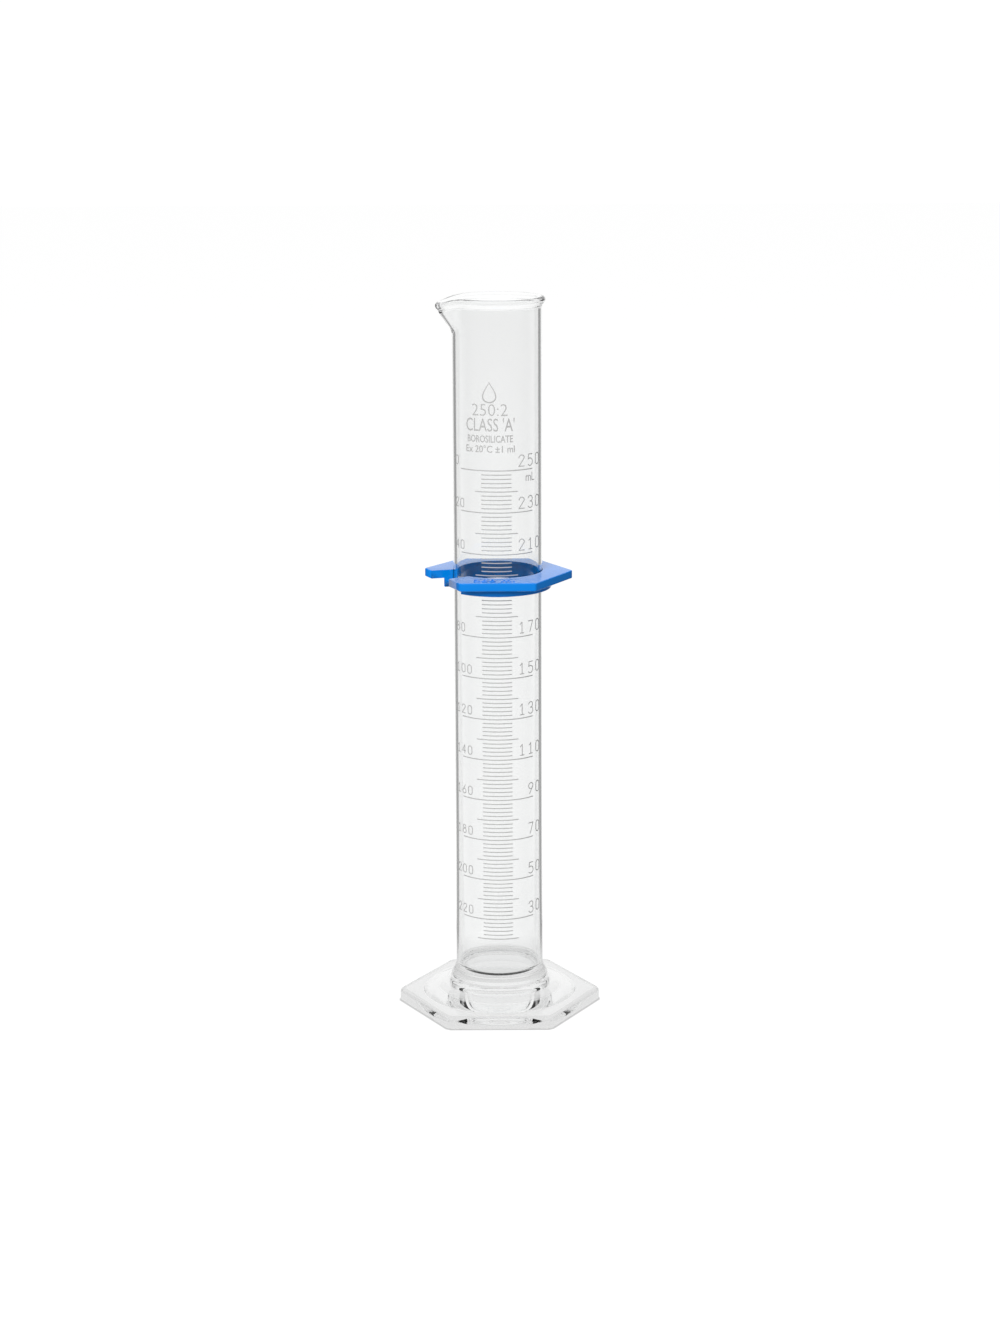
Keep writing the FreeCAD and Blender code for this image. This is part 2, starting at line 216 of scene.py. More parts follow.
world = bpy.data.worlds.new("studio")
bpy.context.scene.world = world
world.use_nodes = True
world.cycles.sampling_method = "NONE"
room = Graph(world.node_tree)
room_path = room.node("ShaderNodeLightPath")
heading = room.node("ShaderNodeSeparateXYZ", inputs={0: room.node("ShaderNodeTexCoord")})
steep = room.output_of(heading, "Z").maths("ABSOLUTE").between(WALL_BAND_TOP, CEILING_START)
room_level = studio_light(room, room_path, heading, 1.0 - steep, ROOM_INNER_FLAG, 0.0)
room_level = room_level + room_path * (BACKDROP - room_level)
room_light = room.node("ShaderNodeBackground", inputs={"Color": grey(1.0), "Strength": room_level})
room.close(room_light, kind="ShaderNodeOutputWorld")

COS_30 = math.cos(math.radians(30))
SIN_30 = 0.5
FLOOR_HALF = 5.0
FLOOR_GLOW = 0.95
FLOOR_SHARE = 0.92
FLOOR_WHITE = 0.12
FLOOR_SPILL_CUT = 0.4
FLOOR_INNER_FLAG = 0.34
CAMERA_SIDE_SHUT = 0.97
FLAGS_START = 0.05
FLAGS_FULL = 0.09
# FOOT_SHADE is painted shade: the table's glow is dimmed under and around the foot.
FOOT_SHADE = 0.21
# CONTACT_SHADE and CONTACT_REACH set a painted contact shadow round the foot's outline.
CONTACT_SHADE = 0.45
CONTACT_REACH = 0.9 * MM

foot_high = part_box("hexagonal_foot")[1]
floor_corners = [(x * FLOOR_HALF, y * FLOOR_HALF, 0.0) for x, y in ((-1, -1), (1, -1), (1, 1), (-1, 1))]
floor_mesh = bpy.data.meshes.new("floor")
floor_mesh.from_pydata(floor_corners, [], [(0, 1, 2, 3)])
floor = bpy.data.objects.new("floor", floor_mesh)
bpy.context.scene.collection.objects.link(floor)
floor_material = bpy.data.materials.new("pale_floor")
floor_material.use_nodes = True
floor_material.cycles.emission_sampling = "NONE"
table = Graph(floor_material.node_tree)
table_path = table.node("ShaderNodeLightPath")
spot = table.node("ShaderNodeSeparateXYZ", inputs={0: table.node("ShaderNodeTexCoord", output=3)})
spot_y = table.output_of(spot, "Y")
off_axis = (spot * spot + spot_y * spot_y).maths("SQRT")
far = off_axis.between(FLAGS_START, FLAGS_FULL)
# Painted shade: the table glows less near the axis, under the foot.
painted_foot_shading = 1.0 - FOOT_SHADE * (1.0 - far)
glow = studio_light(table, table_path, spot, far, FLOOR_INNER_FLAG, CAMERA_SIDE_SHUT) * FLOOR_SHARE * painted_foot_shading
glow = glow * (1.0 - FLOOR_SPILL_CUT * table.output_of(table_path, "Is Diffuse Ray"))
# Painted contact shadow: seen straight from the camera, the table is darkened in a narrow band round the
# foot's hexagonal outline.
leaning = spot * COS_30
off_foot = off_axis - (foot_high.x - foot_high.y)
for side in (spot_y, leaning + SIN_30 * spot_y, leaning - SIN_30 * spot_y):
    off_foot = off_foot.maths("MAXIMUM", off_foot, side.maths("ABSOLUTE"))
painted_contact_shadow = 1.0 - off_foot.between(foot_high.y, foot_high.y + CONTACT_REACH)
glow = glow + table_path * (FLOOR_GLOW - CONTACT_SHADE * painted_contact_shadow - glow)
glowing = table.node("ShaderNodeEmission", inputs={"Color": grey(1.0), "Strength": glow})
matt = table.node("ShaderNodeBsdfDiffuse", inputs={"Color": grey(FLOOR_WHITE)})
table.close(table.node("ShaderNodeAddShader", inputs={0: glowing, 1: matt}))
floor_mesh.materials.append(floor_material)

LIGHT_STEPS = 24
cycles = bpy.context.scene.cycles
cycles.max_bounces = LIGHT_STEPS
cycles.transmission_bounces = LIGHT_STEPS
cycles.glossy_bounces = LIGHT_STEPS


def soft_lamp(name, position, size, power):
    """A square lamp that faces the cylinder; it lights matt surfaces and isn't mirrored in the glass."""
    lamp_data = bpy.data.lights.new(name, "AREA")
    lamp_data.size = size
    lamp_data.energy = power
    lamp = bpy.data.objects.new(name, lamp_data)
    bpy.context.scene.collection.objects.link(lamp)
    middle = Vector((0, 0, 0.5 * cad_bounds[1][2]))
    lamp.location = position
    lamp.rotation_euler = (middle - Vector(position)).to_track_quat("-Z", "Y").to_euler()
    lamp.visible_glossy = False
    lamp.visible_transmission = False
    lamp.visible_camera = False


soft_lamp("front_left_lamp", (-0.6, -1.85, 1.1), 0.8, 38.0)
soft_lamp("overhead_lamp", (0.2, 0.3, 2.0), 1.2, 16.0)


# ---------------------------------------------------------------------------------------------
# Glass cylinder. A pressed hexagonal foot of borosilicate glass, domed and dished underneath,
# and a tube flame-welded onto it: one clear body, with its rim fire polished into a bead.
# ---------------------------------------------------------------------------------------------

tube_low, tube_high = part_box("measuring_tube")
lines_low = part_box("minor_scale_lines")[0]
bore_mount = next(m for m in frame["record"]["mounts"] if m["name"] == "tube_bore")

# Lengths and radii from here on are in millimetres; MM turns them into metres.
ENAMEL = 0.06
TUBE = -lines_low.y / MM - ENAMEL
BORE = bore_mount["dims"]["r_mm"]
GLASS_SKIN = 0.01
WELD_TOP = tube_low.z / MM
RIM_TOP = tube_high.z / MM
BOTTOM_THICKNESS = 4.1
CAVITY_FLOOR = WELD_TOP + BOTTOM_THICKNESS
CAVITY_CORNER = 4.0
WELD_BULGE = 2.2
WELD_RING = TUBE + WELD_BULGE
WELD_RING_HEIGHT = 1.4
WELD_RING_ROUND = 0.3
WELD_GROOVE = 0.4
WELD_GROOVE_SHARE = 1.4
WELD_GROOVE_FLAT = 0.05
FLARE = 10.0
BEAD = 1.5
BEAD_CENTRE = RIM_TOP - BEAD
BEAD_PULLS = {"outside": (1.5, 1.6), "inside": (1.2, 1.8)}
NECK_DROP = 2.9
SPOUT_DEPTH = 15.8
SPOUT_ROOT = RIM_TOP - SPOUT_DEPTH
SPOUT_RUN_UP = 4
SPOUT_STEPS = 16
TUBE_STEP = 40.0

FOOT_HALF_FLATS = foot_high.y / MM
FOOT_EDGE = 6.1
FOOT_CORNER = 4.5
FOOT_TOP_ROUND = 2.2
FOOT_BOTTOM_ROUND = 1.0
FOOT_ROUND_STEPS = 7
DOME_INSET = 5.3
DOME = FOOT_HALF_FLATS - DOME_INSET
LAND_SHARES = (0.35, 0.7)
STAND_INSET = 7.6
STAND = FOOT_HALF_FLATS - STAND_INSET
DISH = 4.5
DISH_SHARES = (0.0, 0.06, 0.15, 0.25, 0.4, 0.55, 0.7, 0.84, 0.93, 1.0)
SHOULDER_REACH = 2.8
SHOULDER = WELD_RING + SHOULDER_REACH
SHOULDER_DROP = 2.5
SHOULDER_HEIGHT = WELD_TOP - SHOULDER_DROP
CROWN = 0.5
CORNER_MARGIN = 1.2
CORNER_STEPS = 8
SIDE_STEPS = 13
SMOOTH_GLASS = 24
POINTS = {"flare": 13, "outside neck": 9, "bead": 17, "inside neck": 7, "cavity": 15, "crown": 10, "skirt": 8}


def arc_points(centre, radius, start, end, count):
    """Points along an arc in the section plane, angles in degrees counted from outwards."""
    turns = [math.radians(start + (end - start) * k / (count - 1)) for k in range(count)]
    return [(centre[0] + radius * math.cos(t), centre[1] + radius * math.sin(t)) for t in turns]


def curve_points(a, b, c, d, count):
    """Points along a cubic curve from a to d, leaving towards b and arriving from c."""

    def along(t, i):
        return (1 - t) ** 3 * a[i] + 3 * (1 - t) ** 2 * t * b[i] + 3 * (1 - t) * t * t * c[i] + t ** 3 * d[i]

    return [(along(k / (count - 1), 0), along(k / (count - 1), 1)) for k in range(count)]


def bulged(a, b, bulge, count):
    """Points from a to b along a shallow arc that stands off the chord by bulge at its middle."""
    points = []
    for k in range(count):
        t = k / (count - 1)
        lift = 4 * t * (1 - t)
        points.append((a[0] + (b[0] - a[0]) * t + bulge * lift, a[1] + (b[1] - a[1]) * t + bulge * lift))
    return points


def corner_reach():
    """The angle from a corner's middle to where its rounding ends."""
    centre = (FOOT_HALF_FLATS - FOOT_CORNER) / COS_30
    return math.atan2(FOOT_CORNER * SIN_30, centre + FOOT_CORNER * COS_30)


def hexagon_radius(turn, inset):
    """Distance from the axis to the foot's outline, drawn in by inset, at a plan angle; corners lie on X."""
    sixth = math.radians(60)
    rounding = FOOT_CORNER - inset
    away = abs((turn + sixth / 2) % sixth - sixth / 2)
    centre = (FOOT_HALF_FLATS - FOOT_CORNER) / math.cos(sixth / 2)
    straight = (FOOT_HALF_FLATS - inset) / math.cos(sixth / 2 - away)
    if straight * math.sin(away) > rounding * SIN_30:
        return straight
    return centre * math.cos(away) + math.sqrt(rounding ** 2 - (centre * math.sin(away)) ** 2)


def plan_turns():
    """Plan angles for one round: close together at the foot's corners and wider along its sides."""
    reach = corner_reach() * CORNER_MARGIN
    rest = math.radians(30) - reach
    half = [reach * k / CORNER_STEPS for k in range(CORNER_STEPS)]
    half += [reach + rest * k / SIDE_STEPS for k in range(SIDE_STEPS)]
    whole = [-math.radians(30)] + [-a for a in half[:0:-1]] + half
    return [math.radians(60) * k + a for k in range(6) for a in whole]


def foot_section(turn):
    """From the middle of the underside out to the edge and up over the dome to the weld."""

    def edge(inset, z):
        return (hexagon_radius(turn, inset), z)

    bends = [math.radians(90 * k / FOOT_ROUND_STEPS) for k in range(FOOT_ROUND_STEPS + 1)]
    dish_ball = (STAND ** 2 + DISH ** 2) / (2 * DISH)
    dish = [(STAND * t, DISH - dish_ball + math.sqrt(dish_ball ** 2 - (STAND * t) ** 2)) for t in DISH_SHARES]
    low = [edge(FOOT_BOTTOM_ROUND * (1 - math.sin(b)), FOOT_BOTTOM_ROUND * (1 - math.cos(b))) for b in bends]
    high = [edge(FOOT_TOP_ROUND * (1 - math.cos(b)), FOOT_EDGE - FOOT_TOP_ROUND * (1 - math.sin(b)))
            for b in bends]
    inner = high[-1][0]
    land = [(inner + (DOME - inner) * t, FOOT_EDGE) for t in LAND_SHARES]
    shoulder = (SHOULDER, SHOULDER_HEIGHT)
    crown = bulged((DOME, FOOT_EDGE), shoulder, CROWN, POINTS["crown"])
    skirt = bulged(shoulder, (WELD_RING, WELD_TOP - WELD_GROOVE), -CROWN / 2, POINTS["skirt"])
    return dish + low + high + land + crown + skirt[1:]


def tube_section():
    """From the weld up the outside, over the bead and down the inside to the middle of the bottom."""
    ring_top = WELD_TOP + WELD_RING_HEIGHT
    sweep = math.degrees(math.acos(1 - (WELD_RING - TUBE) / FLARE))
    flare_top = ring_top + FLARE * math.sin(math.radians(sweep))
    groove = WELD_RING - WELD_GROOVE_SHARE * WELD_GROOVE
    weld = [(groove, WELD_TOP - WELD_GROOVE_FLAT), (groove, WELD_TOP + WELD_GROOVE_FLAT)]
    weld += [(WELD_RING, WELD_TOP + WELD_GROOVE), (WELD_RING, ring_top - WELD_RING_ROUND)]
    flare = arc_points((TUBE + FLARE, flare_top), FLARE, 180 + sweep, 180, POINTS["flare"])
    neck = BEAD_CENTRE - NECK_DROP
    levels = [TUBE_STEP * k for k in range(1, int(SPOUT_ROOT / TUBE_STEP) + 1)]
    levels += [SPOUT_ROOT - SPOUT_RUN_UP + (neck - SPOUT_ROOT + SPOUT_RUN_UP) * k / SPOUT_STEPS
               for k in range(SPOUT_STEPS + 1)]
    low_pull, high_pull = BEAD_PULLS["outside"]
    outer = curve_points((TUBE, neck), (TUBE, BEAD_CENTRE - low_pull),
                         (TUBE + BEAD, BEAD_CENTRE - high_pull), (TUBE + BEAD, BEAD_CENTRE),
                         POINTS["outside neck"])
    high_pull, low_pull = BEAD_PULLS["inside"]
    inner = curve_points((TUBE - BEAD, BEAD_CENTRE), (TUBE - BEAD, BEAD_CENTRE - high_pull),
                         (BORE, BEAD_CENTRE - low_pull), (BORE, neck), POINTS["inside neck"])
    bead = outer[1:-1] + arc_points((TUBE, BEAD_CENTRE), BEAD, 0, 180, POINTS["bead"]) + inner[1:-1]
    bottom = arc_points((BORE - CAVITY_CORNER, CAVITY_FLOOR + CAVITY_CORNER), CAVITY_CORNER, 0, -90,
                        POINTS["cavity"])
    outside = [(x - GLASS_SKIN, z) for x, z in flare + [(TUBE, z) for z in levels]]
    return weld + outside + bead + [(BORE, z) for z in levels[::-1]] + bottom + [(0.0, CAVITY_FLOOR)]


def ring_mesh(name, sections, turns):
    """A closed mesh from one section for each turn; a section starts and ends on the axis."""
    verts = []
    for section, turn in zip(sections, turns):
        verts += [(x * MM * math.cos(turn), x * MM * math.sin(turn), z * MM) for x, z in section[1:-1]]
    first = len(verts)
    verts += [(0, 0, sections[0][0][1] * MM), (0, 0, sections[0][-1][1] * MM)]
    rows = len(sections[0]) - 2
    faces = []
    for k in range(len(turns)):
        a = k * rows
        b = (k + 1) % len(turns) * rows
        faces += [(a + j, b + j, b + j + 1, a + j + 1) for j in range(rows - 1)]
        faces += [(first, b, a), (first + 1, a + rows - 1, b + rows - 1)]
    mesh = bpy.data.meshes.new(name)
    mesh.from_pydata(verts, [], faces)
    return mesh


def turned_out(mesh):
    """Turns a mesh's faces outwards."""
    work = bmesh.new()
    work.from_mesh(mesh)
    bmesh.ops.recalc_face_normals(work, faces=work.faces)
    work.to_mesh(mesh)
    work.free()


def smoothed(mesh, angle):
    """Faces turned outwards and shaded smooth, apart from edges sharper than the angle."""
    turned_out(mesh)
    mesh.shade_smooth()
    mesh.set_sharp_from_angle(angle=math.radians(angle))
    return mesh


class Recipe(Graph):
    """A geometry tree with named inputs."""

    def __init__(self, name, inputs):
        super().__init__(bpy.data.node_groups.new(name, "GeometryNodeTree"))
        sides = self.tree.interface
        sides.new_socket("Geometry", in_out="INPUT", socket_type="NodeSocketGeometry")
        sides.new_socket("Geometry", in_out="OUTPUT", socket_type="NodeSocketGeometry")
        for title, value in inputs.items():
            kind = {int: "NodeSocketInt", float: "NodeSocketFloat"}.get(type(value), "NodeSocketMaterial")
            sides.new_socket(title, in_out="INPUT", socket_type=kind)
        self.inputs = inputs
        self.start = self.node("NodeGroupInput")

    def given(self, title):
        return self.output_of(self.start, title)

    def end(self, geometry):
        real = self.node("GeometryNodeRealizeInstances", inputs={0: geometry})
        done = self.node("GeometryNodeSetMaterial", inputs={
            "Geometry": real, "Material": self.given("Material")})
        self.close(done, "Geometry", "NodeGroupOutput")

    def made(self, name, base=None):
        """Runs the tree on a base mesh and gives the result as a plain mesh."""
        holder = bpy.data.objects.new(name + "_holder", base or bpy.data.meshes.new(name + "_empty"))
        bpy.context.scene.collection.objects.link(holder)
        modifier = holder.modifiers.new(name, "NODES")
        modifier.node_group = self.tree
        for item in self.tree.interface.items_tree:
            if item.in_out == "INPUT" and item.name in self.inputs:
                modifier[item.identifier] = self.inputs[item.name]
        holder.update_tag()
        seen = holder.evaluated_get(bpy.context.evaluated_depsgraph_get())
        mesh = bpy.data.meshes.new_from_object(seen)
        mesh.name = name
        bpy.data.objects.remove(holder)
        return mesh


def piece(mesh, material, body, slot, *replaced):
    """Puts a finished mesh on its body, with its material; the slot argument is not used."""
    made = bpy.data.objects.new(mesh.name, mesh)
    bpy.context.scene.collection.objects.link(made)
    mesh.materials.clear()
    mesh.materials.append(material)
    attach(made, body)
    if replaced:
        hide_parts(*replaced)
    return made


def object_noise(finish, size, detail, stretch=(1, 1, 1)):
    """Noise with features of a size in millimetres, longer where stretch is small."""
    place = finish.node("ShaderNodeTexCoord", output=3)
    spread = tuple(s / (size * MM) for s in stretch)
    where = finish.node("ShaderNodeMapping", inputs={"Vector": place, "Scale": spread})
    return finish.node("ShaderNodeTexNoise", inputs={"Vector": where, "Scale": 1.0, "Detail": detail})


def bumped(finish, height, strength, depth):
    """A normal raised by height, by a depth in millimetres."""
    return finish.node("ShaderNodeBump", inputs={
        "Height": height, "Strength": strength, "Distance": depth * MM})


def finish_for(name):
    """A new material and the graph of its nodes."""
    material = bpy.data.materials.new(name)
    material.use_nodes = True
    return material, Graph(material.node_tree)


GLASS_TINT = (0.962, 0.966, 0.965, 1)
GLASS_ABSORPTION = 1.2
GLASS_IOR = 1.473
DRAW_MARKS = 9.0
DRAW_STRETCH = (1, 1, 0.04)
DRAW_STRENGTH = 0.01
DRAW_DEPTH = 0.4

clear_glass, glass_finish = finish_for("clear_glass")
draw_marks = object_noise(glass_finish, DRAW_MARKS, 1.0, DRAW_STRETCH)
glass_finish.close(glass_finish.node("ShaderNodeBsdfPrincipled", inputs={
    "Base Color": GLASS_TINT, "Roughness": 0.0, "IOR": GLASS_IOR, "Transmission Weight": 1.0,
    "Normal": bumped(glass_finish, draw_marks, DRAW_STRENGTH, DRAW_DEPTH)}))
glass_finish.close(glass_finish.node("ShaderNodeVolumeAbsorption", inputs={
    "Color": grey(0.0), "Density": GLASS_ABSORPTION}), "Volume")

spout_sizes = {
    "Reach": (-tube_low.x / MM - TUBE - BEAD) * MM,
    "Dip": 2.6 * MM,
    "Half angle": math.radians(50.0),
    "Sharpness": 1.5,
    "Root": SPOUT_ROOT * MM,
    "Neck": (BEAD_CENTRE - NECK_DROP) * MM,
    "Softness": 0.12,
    "Material": clear_glass,
}
drawn = Recipe("drawn_spout", spout_sizes)
point = drawn.node("ShaderNodeSeparateXYZ", inputs={0: drawn.node("GeometryNodeInputPosition")})
point_y = drawn.output_of(point, "Y")
point_z = drawn.output_of(point, "Z")
off_lip = point_y.maths("ARCTAN2", point_y, 0.0 - point).maths("ABSOLUTE")
off_lip = (off_lip / drawn.given("Half angle")).clamped()
lip_wave = (off_lip * math.pi).maths("COSINE") * 0.5 + 0.5
pull = lip_wave ** drawn.given("Sharpness")
climb = ((point_z - drawn.given("Root")) / (drawn.given("Neck") - drawn.given("Root"))).clamped()
soft = drawn.given("Softness")
lean = climb * climb / (climb + soft) * (1.0 + soft)
outward = drawn.node("ShaderNodeVectorMath", {"operation": "NORMALIZE"}, {
    0: drawn.node("ShaderNodeCombineXYZ", inputs={"X": point, "Y": point_y})})
reach = pull * lean * drawn.given("Reach")
push = drawn.node("ShaderNodeVectorMath", {"operation": "SCALE"}, {0: outward, "Scale": reach})
sink = drawn.node("ShaderNodeCombineXYZ", inputs={"Z": 0.0 - pull * climb * drawn.given("Dip")})
shift = drawn.node("ShaderNodeVectorMath", {"operation": "ADD"}, {0: push, 1: sink})
drawn.end(drawn.node("GeometryNodeSetPosition", inputs={"Geometry": drawn.start, "Offset": shift}))

glass_turns = plan_turns()
glass_sections = [foot_section(turn) + tube_section() for turn in glass_turns]
turned_body = ring_mesh("turned_body", glass_sections, glass_turns)
glass_mesh = smoothed(drawn.made("glass_body", turned_body), SMOOTH_GLASS)
piece(glass_mesh, clear_glass, "glass_cylinder", "clear_glass", "measuring_tube", "hexagonal_foot")


# ---------------------------------------------------------------------------------------------
# Scale lines. Screen printed round the front of the tube in white ceramic enamel and fired on:
# every 2 ml a short line, every 10 ml a longer one, and every 20 ml one that reaches the numerals.
# ---------------------------------------------------------------------------------------------

ENAMEL_GRAIN = 0.35
ENAMEL_DARK = (0.44, 0.44, 0.435, 1)
ENAMEL_LIGHT = (0.53, 0.53, 0.525, 1)
ENAMEL_ROUGHNESS = 0.42
ENAMEL_UNEVEN = 0.16
ENAMEL_BUMP = 0.25
ENAMEL_BUMP_DEPTH = 0.02

white_enamel, enamel_finish = finish_for("white_enamel")
grain = object_noise(enamel_finish, ENAMEL_GRAIN, 3.0)
tone = enamel_finish.node("ShaderNodeMix", {"data_type": "RGBA"}, {
    0: grain, 6: ENAMEL_DARK, 7: ENAMEL_LIGHT}, output=2)
enamel_finish.close(enamel_finish.node("ShaderNodeBsdfPrincipled", inputs={
    "Base Color": tone, "Roughness": ENAMEL_ROUGHNESS + ENAMEL_UNEVEN * grain,
    "Normal": bumped(enamel_finish, grain, ENAMEL_BUMP, ENAMEL_BUMP_DEPTH)}))

LINE_WIDTH = 0.45
PRINT_BEVEL = 0.06
SCALE_TURN = -91.5
MINOR_SPAN = 39.0
MIDDLE_SPAN = 56.0
MAJOR_SPAN = 104.0
LINE_STEPS = 25
SMOOTH_LINE = 20


def printed_lines(name, span, groups, group_ml, in_group, line_ml, *replaced):
    """Curved lines in groups, from the lowest line of the node they replace to its highest.

    group_ml and line_ml are the millilitres from one group to the next and from line to line in a group.
    """
    low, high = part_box(replaced[0])
    half = 0.5 * LINE_WIDTH * MM
    lowest = low.z + half
    highest = high.z - half
    whole = (groups - 1) * group_ml + (in_group - 1) * line_ml
    ml = (highest - lowest) / whole
    recipe = Recipe(name + "_recipe", {
        "Radius": (TUBE - GLASS_SKIN) * MM, "Span": math.radians(span), "Turn": math.radians(SCALE_TURN),
        "Line width": LINE_WIDTH * MM, "Bevel": PRINT_BEVEL * MM, "Enamel": (ENAMEL + GLASS_SKIN) * MM,
        "Lowest": lowest, "Pitch": ml * line_ml, "Lines": in_group, "Group pitch": ml * group_ml,
        "Groups": groups, "Steps": LINE_STEPS, "Material": white_enamel})
    given = recipe.given
    arc = recipe.node("GeometryNodeCurveArc", {"mode": "RADIUS"}, {
        "Resolution": given("Steps"), "Radius": given("Radius"),
        "Start Angle": given("Turn") - given("Span") / 2.0, "Sweep Angle": given("Span")})
    section = recipe.node("GeometryNodeCurvePrimitiveQuadrilateral", {"mode": "TRAPEZOID"}, {
        "Bottom Width": given("Line width"), "Top Width": given("Line width") - 2.0 * given("Bevel"),
        "Offset": 0.0, "Height": given("Enamel")})
    lifted = recipe.node("GeometryNodeTransform", inputs={
        "Geometry": section, "Translation": recipe.node("ShaderNodeCombineXYZ", inputs={
            "X": given("Enamel") / 2.0}), "Rotation": (0.0, 0.0, -math.pi / 2)})
    line = recipe.node("GeometryNodeCurveToMesh", inputs={
        "Curve": arc, "Profile Curve": lifted, "Fill Caps": True})

    def ladder(count, step, start):
        rung = recipe.node("ShaderNodeCombineXYZ", inputs={"Z": step})
        lowest_rung = recipe.node("ShaderNodeCombineXYZ", inputs={"Z": start})
        return recipe.node("GeometryNodeMeshLine", inputs={
            "Count": count, "Start Location": lowest_rung, "Offset": rung})

    one_group = recipe.node("GeometryNodeInstanceOnPoints", inputs={
        "Points": ladder(given("Lines"), given("Pitch"), 0.0), "Instance": line})
    recipe.end(recipe.node("GeometryNodeInstanceOnPoints", inputs={
        "Points": ladder(given("Groups"), given("Group pitch"), given("Lowest")), "Instance": one_group}))
    made = smoothed(recipe.made(name), SMOOTH_LINE)
    piece(made, white_enamel, "glass_cylinder", "white_enamel", *replaced)


printed_lines("short_lines", MINOR_SPAN, 23, 10.0, 4, 2.0, "minor_scale_lines")
printed_lines("medium_lines", MIDDLE_SPAN, 12, 20.0, 1, 0.0, "middle_scale_lines")
printed_lines("long_lines", MAJOR_SPAN, 12, 20.0, 1, 0.0, "major_scale_lines")


# ---------------------------------------------------------------------------------------------
# Numerals. Two columns printed in the same enamel as the lines, contents on the right and
# poured volume on the left, with the unit under the top one.
# ---------------------------------------------------------------------------------------------

for numerals in ("falling_numerals", "rising_numerals", "unit_mark"):
    printed = frame["nodes"][numerals].data
    printed.materials.clear()
    printed.materials.append(white_enamel)


# ---------------------------------------------------------------------------------------------
# Inscription. A printed block above the scale with a plain drop, capacity and step, accuracy
# class, kind of glass and calibration temperature, in the same fired enamel.
# ---------------------------------------------------------------------------------------------

INSCRIPTION_TURN = -10.0
CUT_STEP = 0.5
CUT_SNAP = 0.0001
MERGE = 0.002
SUNK = 0.005
PRINT_THICKNESS = ENAMEL + SUNK
LETTER_HALF = 0.5
LETTER_CURVE_STEPS = 3


def merged(mesh, distance):
    """Joins a mesh's points that lie closer than a distance."""
    work = bmesh.new()
    work.from_mesh(mesh)
    bmesh.ops.remove_doubles(work, verts=work.verts, dist=distance)
    work.to_mesh(mesh)
    work.free()


def wrapped(name, mesh, middle_z):
    """Bends a flat, thick mesh, in millimetres, round the front of the tube."""
    merged(mesh, MERGE)
    work = bmesh.new()
    work.from_mesh(mesh)
    low = min(v.co.x for v in work.verts)
    high = max(v.co.x for v in work.verts)
    for k in range(1, int((high - low) / CUT_STEP) + 1):
        everything = work.verts[:] + work.edges[:] + work.faces[:]
        bmesh.ops.bisect_plane(work, geom=everything, plane_co=(low + k * CUT_STEP, 0, 0),
                               plane_no=(1, 0, 0), dist=CUT_SNAP)
    for v in work.verts:
        turn = math.radians(INSCRIPTION_TURN) + v.co.x / TUBE
        radius = TUBE - SUNK + v.co.z
        v.co = (radius * math.sin(turn) * MM, -radius * math.cos(turn) * MM, (middle_z + v.co.y) * MM)
    work.to_mesh(mesh)
    work.free()
    turned_out(mesh)
    mesh.name = name
    mesh.shade_flat()
    return mesh


def lettering(text, width, height, weight):
    """A line of text as a flat, thick mesh in millimetres, fitted to a width and a height."""
    curve = bpy.data.curves.new(text, "FONT")
    curve.body = text
    curve.resolution_u = LETTER_CURVE_STEPS
    curve.extrude = LETTER_HALF
    curve.offset = weight
    holder = bpy.data.objects.new(text, curve)
    bpy.context.scene.collection.objects.link(holder)
    mesh = bpy.data.meshes.new_from_object(holder.evaluated_get(bpy.context.evaluated_depsgraph_get()))
    bpy.data.objects.remove(holder)
    xs = [v.co.x for v in mesh.vertices]
    ys = [v.co.y for v in mesh.vertices]
    for v in mesh.vertices:
        v.co.x = (v.co.x - 0.5 * (min(xs) + max(xs))) * width / (max(xs) - min(xs))
        v.co.y = (v.co.y - 0.5 * (min(ys) + max(ys))) * height / (max(ys) - min(ys))
        v.co.z = (v.co.z + LETTER_HALF) * PRINT_THICKNESS
    return mesh


def band(outer, inner, thick):
    """A closed flat ring between two outlines with the same number of points."""
    count = len(outer)
    verts = [(x, y, z) for z in (0.0, thick) for outline in (outer, inner) for x, y in outline]
    faces = []
    for k in range(count):
        n = (k + 1) % count
        low = (k, n, count + n, count + k)
        high = tuple(2 * count + corner for corner in low)
        faces += [low, high[::-1], (low[0], high[0], high[1], low[1]), (low[3], low[2], high[2], high[3])]
    mesh = bpy.data.meshes.new("band")
    mesh.from_pydata(verts, [], faces)
    return mesh


def drop_outline(stroke):
    """A hanging drop, pointed at the top and drawn in by the stroke."""
    points = []
    for k in range(DROP_STEPS):
        t = 2 * math.pi * k / DROP_STEPS
        side = (DROP_WIDTH / 2 - stroke) * DROP_FULLNESS * math.sin(t) * math.sin(t / 2) ** DROP_TAPER
        points.append((side, (DROP_HEIGHT / 2 - stroke) * math.cos(t)))
    return points


# Piece, text, width, height, extra weight of the strokes and height of the line's middle.
BLOCK = [
    ("capacity_line", "250:2", 16.2, 5.2, -0.012, 279.2),
    ("class_line", "CLASS 'A'", 22.6, 6.0, 0.0, 272.7),
    ("glass_line", "BOROSILICATE", 21.0, 3.2, 0.012, 266.4),
    ("temperature_line", "Ex 20°C ±1 ml", 22.8, 3.3, 0.01, 262.0),
]
for line_name, text, width, height, weight, middle in BLOCK:
    line_print = wrapped(line_name, lettering(text, width, height, weight), middle)
    piece(line_print, white_enamel, "glass_cylinder", "white_enamel")

DROP_HEIGHT = 9.4
DROP_WIDTH = 7.0
DROP_STROKE = 0.6
DROP_FULLNESS = 1.3
DROP_TAPER = 1.5
DROP_STEPS = 48
DROP_MIDDLE = 286.9

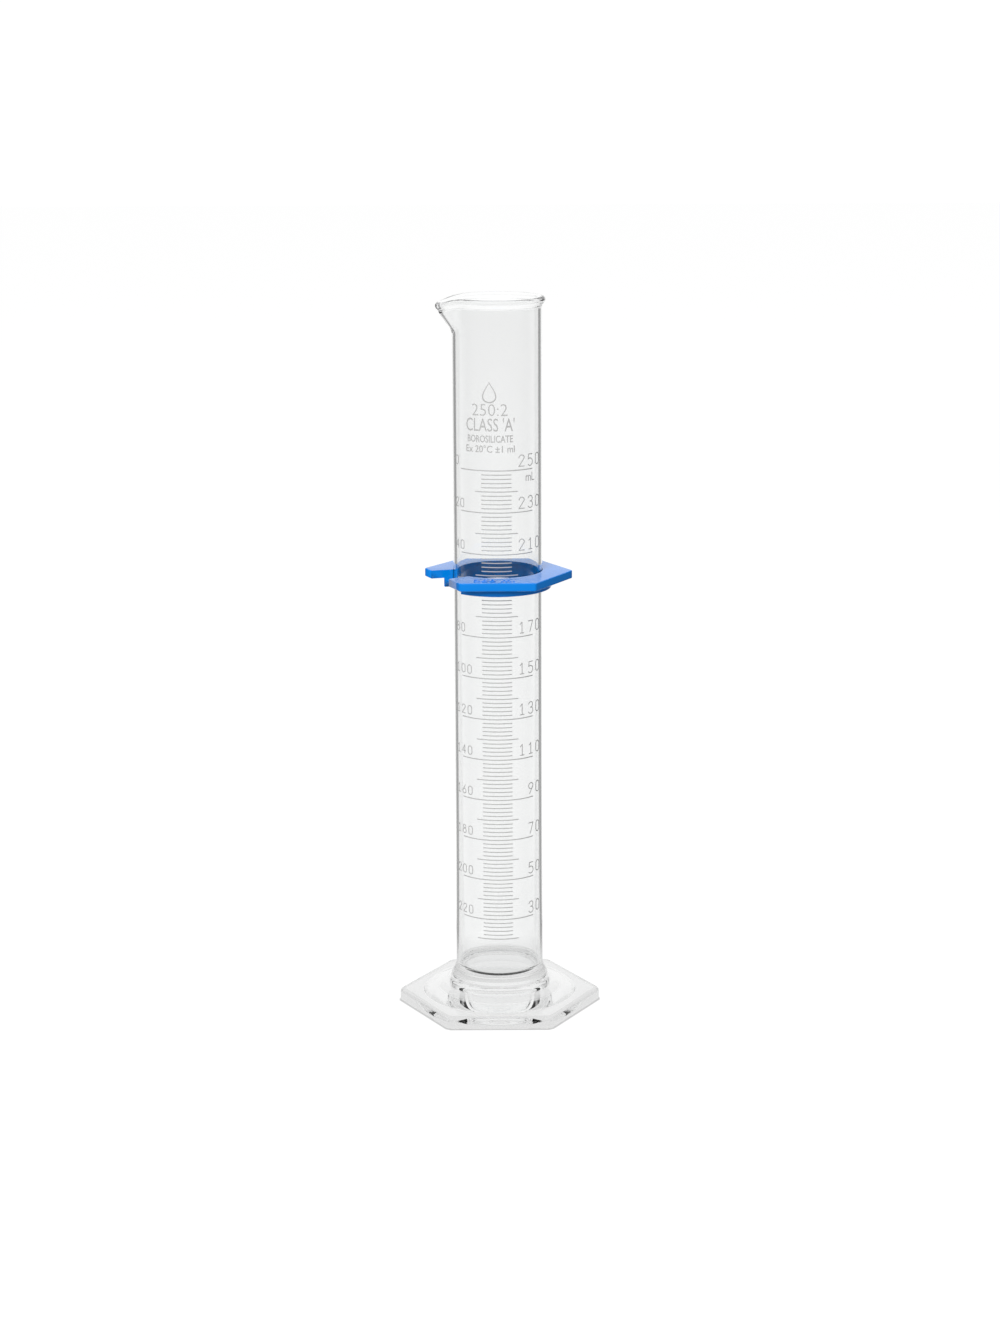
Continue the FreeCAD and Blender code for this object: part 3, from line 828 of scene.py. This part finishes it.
drop_ring = band(drop_outline(0.0), drop_outline(DROP_STROKE), PRINT_THICKNESS)
drop_print = wrapped("drop_mark", drop_ring, DROP_MIDDLE)
piece(drop_print, white_enamel, "glass_cylinder", "white_enamel")


# ---------------------------------------------------------------------------------------------
# Bumper guard. One injection moulding in blue plastic: a hexagonal plate with a collar under it
# and a slot through the left side, by which it springs onto the tube; capacity raised on top.
# ---------------------------------------------------------------------------------------------

guard_low, guard_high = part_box("bumper_guard")

BLUE_DEEP = (0.0, 0.215, 0.75, 1)
BLUE_PALE = (0.0, 0.245, 0.83, 1)
PLASTIC_GRAIN = 0.6
PLASTIC_CLOUD = 12.0
PLASTIC_ROUGHNESS = 0.07
PLASTIC_UNEVEN = 0.05
PLASTIC_IOR = 1.5
PLASTIC_BUMP = 0.1
PLASTIC_BUMP_DEPTH = 0.02

blue_plastic, plastic_finish = finish_for("blue_plastic")
fine = object_noise(plastic_finish, PLASTIC_GRAIN, 4.0)
cloud = object_noise(plastic_finish, PLASTIC_CLOUD, 2.0)
blue = plastic_finish.node("ShaderNodeMix", {"data_type": "RGBA"}, {
    0: cloud, 6: BLUE_DEEP, 7: BLUE_PALE}, output=2)
plastic_finish.close(plastic_finish.node("ShaderNodeBsdfPrincipled", inputs={
    "Base Color": blue, "Roughness": PLASTIC_ROUGHNESS + PLASTIC_UNEVEN * fine, "IOR": PLASTIC_IOR,
    "Normal": bumped(plastic_finish, fine, PLASTIC_BUMP, PLASTIC_BUMP_DEPTH)}))

MOULDING_MERGE = 0.001 * MM
SMOOTH_MOULDING = 28

moulding = frame["nodes"]["bumper_guard"].data.copy()
moulding.name = "guard_moulding"
merged(moulding, MOULDING_MERGE)
moulding.shade_smooth()
moulding.set_sharp_from_angle(angle=math.radians(SMOOTH_MOULDING))
piece(moulding, blue_plastic, "guard", "blue_plastic", "bumper_guard")

MARK_RAISE = 0.3
MARK_WIDTH = 18.0
MARK_HEIGHT = 4.6
MARK_WEIGHT = 0.01
MARK_LEFT = 1.6
MARK_INSET = 5.6

capacity_mark = lettering("250 ml", MARK_WIDTH, MARK_HEIGHT, MARK_WEIGHT)
merged(capacity_mark, MERGE)
mark_thick = max(v.co.z for v in capacity_mark.vertices)
for v in capacity_mark.vertices:
    mark_rise = (v.co.z / mark_thick) * (MARK_RAISE + SUNK) - SUNK
    v.co = ((v.co.x - MARK_LEFT) * MM, (v.co.y + (guard_low.y / MM + MARK_INSET)) * MM,
            (guard_high.z / MM + mark_rise) * MM)
turned_out(capacity_mark)
capacity_mark.name = "guard_capacity_mark"
capacity_mark.shade_flat()
piece(capacity_mark, blue_plastic, "guard", "blue_plastic")
